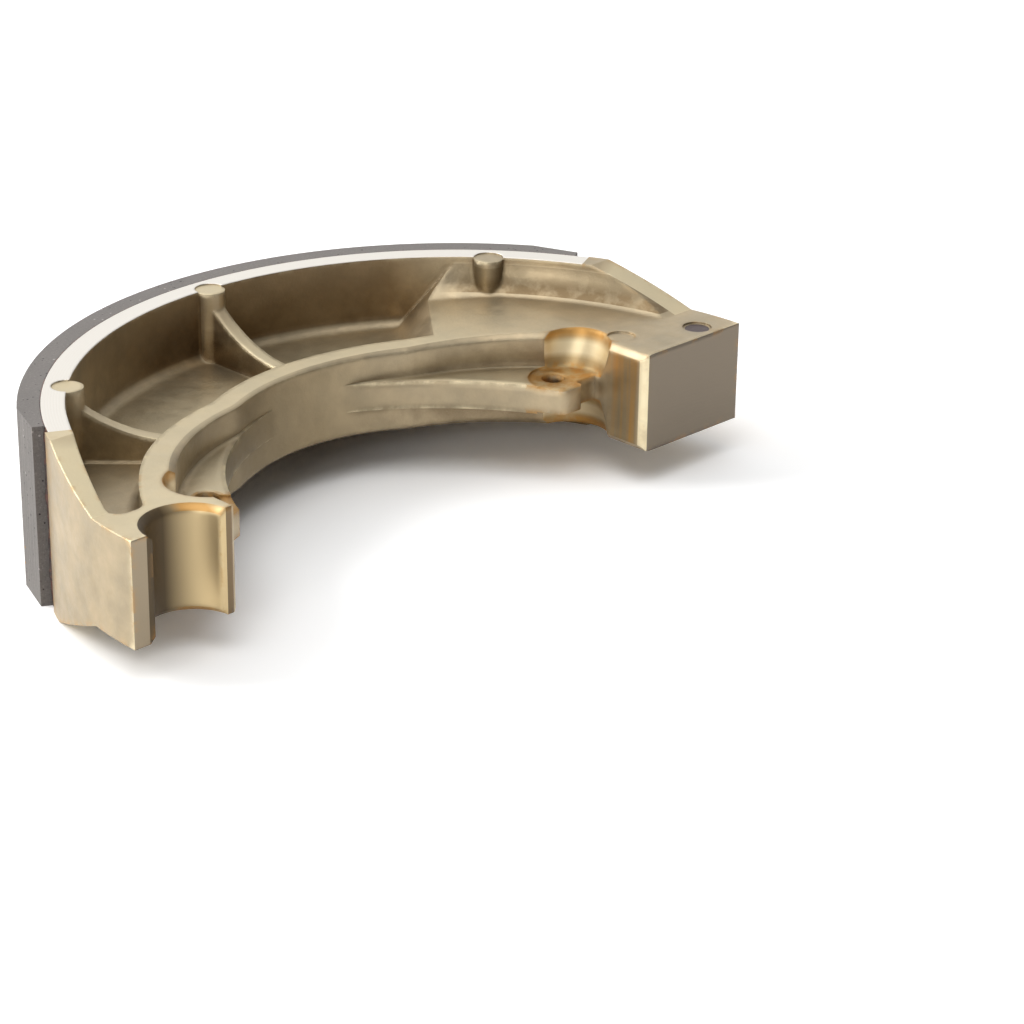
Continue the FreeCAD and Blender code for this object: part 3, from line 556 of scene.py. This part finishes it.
def casting_gloss(tree, skin, cut, lathe):
    """How metallic and how rough the casting is: less metallic under the adhesive and under the seat's
    painted shade, and finer where it is cut.
    """
    bare = add_node(tree, "ShaderNodeMath", {"operation": "SUBTRACT"},
                    {0: cut.white, 1: cut.past_lining}).outputs[0]
    # Less metallic under the adhesive and under the seat's painted shade
    less_metal = overlap(tree, union(tree, overlap(tree, cut.seat_shade_mask, 0.6), cut.past_lining), 0.6)
    metallic = add_node(tree, "ShaderNodeMath", {"operation": "SUBTRACT"},
                        {0: fading(tree, bare, 0.0, 1.0, 0.85, 1.0), 1: less_metal}).outputs[0]
    coarser = union(tree, overlap(tree, lathe, cut.white), cut.seat, cut.spots, cut.past_lining)
    roughness = add_node(tree, "ShaderNodeMix", {"data_type": "FLOAT"}, {
        "Factor": cut.all, 2: fading(tree, skin.blotch, 0.3, 0.7, 0.36, 0.48),
        3: fading(tree, coarser, 0.0, 1.0, 0.30, 0.45)}).outputs[0]
    return metallic, roughness


def casting_surface(tree, look, place, skin, cut, lathe):
    """Normal of the casting: edges rounded by the mould, then the grain of the skin or the cutter's lines."""
    mill = cutter_lines(tree, place.z, MILL_PITCH, skin.mottle, MILL_WANDER)
    cast_relief = add_node(tree, "ShaderNodeMath", {"operation": "MULTIPLY_ADD"},
                           {0: skin.blotch, 1: 1.6, 2: skin.grain}).outputs[0]
    cut_relief = union(tree, overlap(tree, lathe, cut.white, 0.25), overlap(tree, mill, cut.end_face, 0.12))
    relief = add_node(tree, "ShaderNodeMix", {"data_type": "FLOAT"},
                      {"Factor": cut.all, 2: cast_relief, 3: cut_relief}).outputs[0]
    usual = fading(tree, place.radius, *INSIDE_RIM, look.edge_radius, look.bead_radius)
    by_shelf = overlap(tree, within(tree, place.height, UNDER, SHELF_TOP),
                       within(tree, place.radius, UNDER, SHELF_RADIUS),
                       fading(tree, place.y, *OFF_END_FACES))
    radius = add_node(tree, "ShaderNodeMix", {"data_type": "FLOAT"},
                      {"Factor": by_shelf, 2: usual, 3: look.shelf_radius}).outputs[0]
    rounded = add_node(tree, "ShaderNodeBevel", {"samples": LIGHT_SAMPLES}, {"Radius": radius}).outputs[0]
    return add_node(tree, "ShaderNodeBump", links={
        "Strength": 1.0, "Distance": CAST_RELIEF, "Height": relief, "Normal": rounded}).outputs[0]


# Pressure die-cast aluminium with a yellow chromate film: a satin, finely grained tan metal that goes golden
# where the film is thick on the cam arm, with painted shade in hollows and on faces turned from the light,
# painted highlights on tops and along edges, where they also stand for wear, and nearly white where machined
def casting_material(look):
    material, tree = new_material("die_cast_aluminium_yellow_chromate")
    place = Place(tree)
    skin = SkinPatterns(tree, place, look.grain)
    cut = CutFaces(tree, place)
    cast = CastFaces(tree, place, skin)
    lathe = cutter_lines(tree, place.radius, LATHE_PITCH, skin.blotch, LATHE_WANDER)
    metallic, roughness = casting_gloss(tree, skin, cut, lathe)
    close_material(tree, add_node(tree, "ShaderNodeBsdfPrincipled", links={
        "Base Color": casting_colour(tree, look, place, skin, cut, cast),
        "Metallic": metallic, "Roughness": roughness,
        "Normal": casting_surface(tree, look, place, skin, cut, lathe)}))
    return material


# Moulded friction composite: a dull grey matrix with pale fibres, brass chips and graphite, closed and
# smooth on the sides, and marked across by the grinding wheel on the rubbing face
def lining_material(look):
    material, tree = new_material("moulded_friction_composite")
    place = Place(tree)
    mottle = cloudy(tree, place.coords, LINING_MOTTLE_SIZE, 4.0, 0.6)
    grain = cloudy(tree, place.coords, look.grain, 3.0, 0.7)
    around = add_node(tree, "ShaderNodeMath", {"operation": "MULTIPLY"},
                      {0: place.swing, 1: LINING_RADIUS}).outputs[0]
    across = add_node(tree, "ShaderNodeCombineXYZ", links={"X": around}).outputs[0]
    broad = cloudy(tree, across, 2.6 * look.chatter, 3.0, 0.7)
    fine = streaks(tree, around, place.z, 0.45 * look.chatter, 0.02, 3.0, 0.65)
    side = within(tree, place.height, HALF_WIDTH - ON_FACE, HALF_WIDTH + ON_FACE)
    off_side = add_node(tree, "ShaderNodeMath", {"operation": "SUBTRACT"}, {0: 1.0, 1: side}).outputs[0]
    rubbing = overlap(tree, within(tree, place.radius, LINING_RADIUS - RUBBING_DEPTH, OVER), off_side)

    fibres = specks(tree, place.coords, 0.8 * look.speck, 0.06, 0.22)
    brass = specks(tree, place.coords, 1.5 * look.speck, 0.06, 0.15)
    pits = specks(tree, place.coords, 1.1 * look.speck, 0.05, 0.20)
    fine_pits = specks(tree, place.coords, 0.5 * look.speck, 0.08, 0.30)
    base = painted(tree, look.matrix, (overlap(tree, fading(tree, mottle, 0.3, 0.7), 0.5), look.ground),
                   (overlap(tree, rubbing, fading(tree, broad, 0.65, 0.35, 0.0, 0.5)), look.ground),
                   (overlap(tree, rubbing, fading(tree, fine, 0.35, 0.70, 0.0, 0.55), 0.5), look.fibre),
                   (overlap(tree, fading(tree, grain, 0.55, 0.75), 0.35), look.fibre),
                   (overlap(tree, fading(tree, grain, 0.45, 0.25), 0.5), look.pit),
                   (overlap(tree, fibres, 0.8), look.fibre), (brass, look.brass),
                   (fine_pits, look.pit), (overlap(tree, pits, 0.85), look.pit))
    wheel_marks = add_node(tree, "ShaderNodeMath", {"operation": "MULTIPLY_ADD"},
                           {0: fine, 1: 1.3, 2: broad}).outputs[0]
    raised = union(tree, overlap(tree, rubbing, wheel_marks), overlap(tree, grain, 0.5))
    relief = add_node(tree, "ShaderNodeMath", {"operation": "SUBTRACT"}, {0: raised, 1: pits}).outputs[0]
    surface = add_node(tree, "ShaderNodeBump", links={
        "Strength": 1.0, "Distance": LINING_RELIEF, "Height": relief}).outputs[0]
    close_material(tree, add_node(tree, "ShaderNodeBsdfPrincipled", links={
        "Base Color": base, "Metallic": brass, "Roughness": fading(tree, grain, 0.3, 0.7, 0.62, 0.85),
        "Normal": surface}))
    return material


# Cured phenolic adhesive: a brittle red-brown resin, glossy where it ran and dark where it burnt
def adhesive_material(look):
    material, tree = new_material("cured_phenolic_adhesive")
    place = Place(tree)
    burn = cloudy(tree, place.coords, BURN_SIZE, 4.0, 0.6)
    bubbles = cloudy(tree, place.coords, BUBBLE_SIZE)
    base = painted(tree, look.resin, (fading(tree, burn, 0.42, 0.58), look.char))
    surface = add_node(tree, "ShaderNodeBump", links={
        "Strength": 1.0, "Distance": RESIN_RELIEF, "Height": bubbles}).outputs[0]
    close_material(tree, add_node(tree, "ShaderNodeBsdfPrincipled", links={
        "Base Color": base, "Roughness": fading(tree, burn, 0.3, 0.7, 0.28, 0.5), "IOR": RESIN_IOR,
        "Normal": surface}))
    return material


def new_piece(name, mesh):
    piece = bpy.data.objects.new(name, mesh)
    bpy.context.scene.collection.objects.link(piece)
    return piece


def tube(name, rings):
    """Closed tube: point v of ring u joins point v + 1 and the same two points of ring u + 1, and the
    first and the last ring are closed by a fan from their middle."""
    stations, sides = rings.shape[:2]
    middles = rings.mean(axis=1)
    points = np.concatenate([rings.reshape(-1, 3), middles[:1], middles[-1:]])
    here = np.arange(sides)
    ahead = (here + 1) % sides
    ring_starts = np.arange(stations - 1)[:, None] * sides
    start = (ring_starts + here).ravel()
    step = (ring_starts + ahead).ravel()
    walls = np.stack([start, step, step + sides, start + sides], axis=1)
    first_middle = np.full(sides, stations * sides)
    last_ring = (stations - 1) * sides
    first_fan = np.stack([ahead, here, first_middle], axis=1)
    last_fan = np.stack([here + last_ring, ahead + last_ring, first_middle + 1], axis=1)
    mesh = bpy.data.meshes.new(name)
    mesh.from_pydata(points.tolist(), [], walls.tolist() + first_fan.tolist() + last_fan.tolist())
    mesh.shade_smooth()
    mesh.validate()
    return new_piece(name, mesh)


def curved_rings(radius, angle, height, side):
    """Rings from their points' radius, angle and height, wound so that their tube faces outwards."""
    rings = np.stack([radius * np.sin(angle), radius * np.cos(angle), height], axis=2)
    return rings[:, ::-1] if side > 0 else rings


def uneven(along, seed):
    """Smooth wandering value near 1: a sum of five sines of rising frequency and falling size."""
    source = np.random.default_rng(seed)
    total = np.ones_like(along)
    for count in range(1, 6):
        phase = source.uniform(0, 2 * math.pi)
        total += 0.22 / count ** 0.6 * np.sin(2 * math.pi * along * (2.3 * count) + phase)
    return total


def ends_closed(along, steepness):
    """1 along a bead, and the square root of the distance to its nearer end close to its ends."""
    return np.clip(np.minimum(along, 1 - along) * steepness, 0.02, 1) ** 0.5


def squeeze_bead(name, side, look, seed):
    """Adhesive pressed out along a lining end.

    At each height z, a ring with the turn v stands at radius R + h cos v and at angle A + w sin v / R,
    where the reach w and the height h wander along z and shrink to nothing at both ends.
    """
    stations, sides, margin = 90, 14, 0.2 * MM
    along = np.linspace(0, 1, stations)
    closing = ends_closed(along, 30)
    reach = look.squeeze_width * uneven(along, seed) * closing
    rise = look.squeeze_height * uneven(along, seed + 1) * closing
    turn = np.linspace(0, 2 * math.pi, sides, endpoint=False)
    radius = TURNED_RADIUS + rise[:, None] * np.cos(turn)
    angle = side * (FILM_HALF_ANGLE + reach[:, None] * np.sin(turn) / TURNED_RADIUS)
    height = (margin + along * (SHOE_WIDTH - 2 * margin))[:, None] + np.zeros_like(radius)
    return tube(name, curved_rings(radius, angle, height, side))


def parting_flash(name, look, seed):
    """Thin flash where the mould's halves met, along the outer face of the cam arm.

    At each angle a along the arm, a flat ring with the turn v stands at radius R + h (cos v - 1/2) and
    at height M + w sin v / 2, where M wanders a little about the middle plane.
    """
    stations, sides, wander = 120, 20, 0.12 * MM
    along = np.linspace(0, 1, stations)
    closing = ends_closed(along, 40)
    rise = look.flash_height * uneven(along, seed) * closing
    width = look.flash_width / 2 * uneven(along, seed + 1) * closing
    first = TURNED_HALF_ANGLE + 0.2 * DEGREE
    last = math.acos(END_FACE_Y / ARM_RADIUS) - 0.15 * DEGREE
    turn = np.linspace(0, 2 * math.pi, sides, endpoint=False)
    radius = ARM_RADIUS + rise[:, None] * (np.cos(turn) - 0.5)
    angle = (first + along * (last - first))[:, None]
    middle = HALF_WIDTH + wander * (uneven(along, seed + 2) - 1)
    height = middle[:, None] + width[:, None] * np.sin(turn)
    return tube(name, curved_rings(radius, angle, height, 1))


class SHOE_OT_casting(bpy.types.Operator):
    """Finish the casting, and lay the parting flash along its cam arm"""
    bl_idname = "shoe.casting"
    bl_label = "Casting"

    def execute(self, context):
        look = context.scene.shoe_casting
        material = casting_material(look)
        give_finish(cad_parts["shoe_casting"], material)
        flash = parting_flash("parting_flash", look, 11)
        give_finish(flash, material)
        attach(flash, "root")
        return {"FINISHED"}


class SHOE_OT_lining(bpy.types.Operator):
    """Finish the friction lining"""
    bl_idname = "shoe.lining"
    bl_label = "Lining"

    def execute(self, context):
        give_finish(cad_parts["friction_lining"], lining_material(context.scene.shoe_lining))
        return {"FINISHED"}


class SHOE_OT_adhesive(bpy.types.Operator):
    """Finish the adhesive film, and add the beads squeezed out at the lining's ends"""
    bl_idname = "shoe.adhesive"
    bl_label = "Adhesive"

    def execute(self, context):
        look = context.scene.shoe_adhesive
        material = adhesive_material(look)
        give_finish(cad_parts["bond_film"], material)
        for name, side, seed in (("squeeze_bead_cam", 1, 31), ("squeeze_bead_pivot", -1, 41)):
            bead = squeeze_bead(name, side, look, seed)
            give_finish(bead, material)
            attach(bead, "root")
        return {"FINISHED"}


def studio_floor(look):
    """Flat square floor at z = 0, white to the camera and in reflections, and pale to the light."""
    corners = np.array([(-1, -1, 0), (1, -1, 0), (1, 1, 0), (-1, 1, 0)]) * FLOOR_REACH
    mesh = bpy.data.meshes.new("studio_floor")
    mesh.from_pydata(corners.tolist(), [], [(0, 1, 2, 3)])
    floor = new_piece("studio_floor", mesh)
    material, tree = new_material("matt_white_paper")
    coords = add_node(tree, "ShaderNodeTexCoord").outputs["Object"]
    fibre = fading(tree, cloudy(tree, coords, PAPER_FIBRE_SIZE), 0.0, 1.0, 0.0, 0.03)
    rays = add_node(tree, "ShaderNodeLightPath")
    seen = union(tree, rays.outputs["Is Camera Ray"], rays.outputs["Is Glossy Ray"],
                 rays.outputs["Is Transmission Ray"])
    plain = add_node(tree, "ShaderNodeBsdfDiffuse", links={
        "Color": painted(tree, look.floor, (fibre, look.fibre))})
    white = add_node(tree, "ShaderNodeBsdfDiffuse", links={"Color": FLOOR_SEEN})
    close_material(tree, add_node(tree, "ShaderNodeMixShader", links={
        0: seen, 1: plain.outputs[0], 2: white.outputs[0]}))
    give_finish(floor, material)
    return floor


def studio_world(look):
    """Even light, strong from behind the shoe and weak from the front."""
    world = bpy.data.worlds.new("studio")
    world.use_nodes = True
    tree = world.node_tree
    tree.nodes.clear()
    sight = add_node(tree, "ShaderNodeTexCoord").outputs["Generated"]
    toward = add_node(tree, "ShaderNodeVectorMath", {"operation": "DOT_PRODUCT"},
                      {0: sight, 1: BACKDROP_SIDE}).outputs["Value"]
    strength = fading(tree, toward, *BACKDROP_LIMITS, look.front_light, look.back_light)
    sky = add_node(tree, "ShaderNodeBackground", links={"Color": (1, 1, 1, 1), "Strength": strength})
    add_node(tree, "ShaderNodeOutputWorld", links={"Surface": sky.outputs[0]})
    return world


def softbox(name, place, size, power):
    """Square lamp that looks at the shoe and isn't seen itself."""
    lamp = bpy.data.lights.new(name, "AREA")
    lamp.size = size
    lamp.energy = power
    holder = bpy.data.objects.new(name, lamp)
    holder.location = place
    holder.rotation_euler = (Vector(LAMP_AIM) - Vector(place)).to_track_quat("-Z", "Y").to_euler()
    holder.visible_camera = False
    bpy.context.scene.collection.objects.link(holder)


def studio_camera(look):
    lens = bpy.data.cameras.new("camera")
    lens.lens = look.focal_length
    lens.sensor_width = FILM_WIDTH
    lens.clip_start = 0.01
    camera = bpy.data.objects.new("camera", lens)
    camera.location = look.camera_place
    camera.rotation_euler = Euler(look.camera_turn)
    bpy.context.scene.collection.objects.link(camera)
    return camera


class SHOE_OT_studio(bpy.types.Operator):
    """Set up the floor, the lamps and the camera"""
    bl_idname = "shoe.studio"
    bl_label = "Studio"

    def execute(self, context):
        look = context.scene.shoe_studio
        floor = studio_floor(look)
        context.scene.world = studio_world(look)
        softbox("key_softbox", (-0.95, 1.15, 0.95), 0.9, look.key_power)
        softbox("fill_softbox", (-1.3, -0.5, 0.45), 0.6, look.fill_power)
        softbox("top_softbox", (-0.35, -0.20, 1.20), 0.9, look.top_power)
        context.scene.camera = studio_camera(look)
        context.scene.view_settings.view_transform = "Standard"
        return {"FINISHED"}


LOOKS = {"shoe_casting": CastingLook, "shoe_lining": LiningLook, "shoe_adhesive": AdhesiveLook,
         "shoe_studio": StudioLook}
OPERATORS = [SHOE_OT_casting, SHOE_OT_lining, SHOE_OT_adhesive, SHOE_OT_studio]


class SHOE_PT_panel(bpy.types.Panel):
    """Brake shoe"""
    bl_idname = "SHOE_PT_panel"
    bl_label = "Brake Shoe"
    bl_space_type = "VIEW_3D"
    bl_region_type = "UI"
    bl_category = "Brake Shoe"

    def draw(self, context):
        for operator, name in zip(OPERATORS, LOOKS):
            box = self.layout.box()
            box.operator(operator.bl_idname)
            look = getattr(context.scene, name)
            for prop in LOOKS[name].__annotations__:
                box.prop(look, prop)


CLASSES = (*LOOKS.values(), *OPERATORS, SHOE_PT_panel)


def register():
    for group in CLASSES:
        bpy.utils.register_class(group)
    for name, group in LOOKS.items():
        setattr(bpy.types.Scene, name, PointerProperty(type=group))


def unregister():
    for name in LOOKS:
        delattr(bpy.types.Scene, name)
    for group in reversed(CLASSES):
        bpy.utils.unregister_class(group)


def main():
    register()
    bpy.ops.shoe.casting()
    bpy.ops.shoe.lining()
    bpy.ops.shoe.adhesive()
    bpy.ops.shoe.studio()


if __name__ == "__main__":
    main()
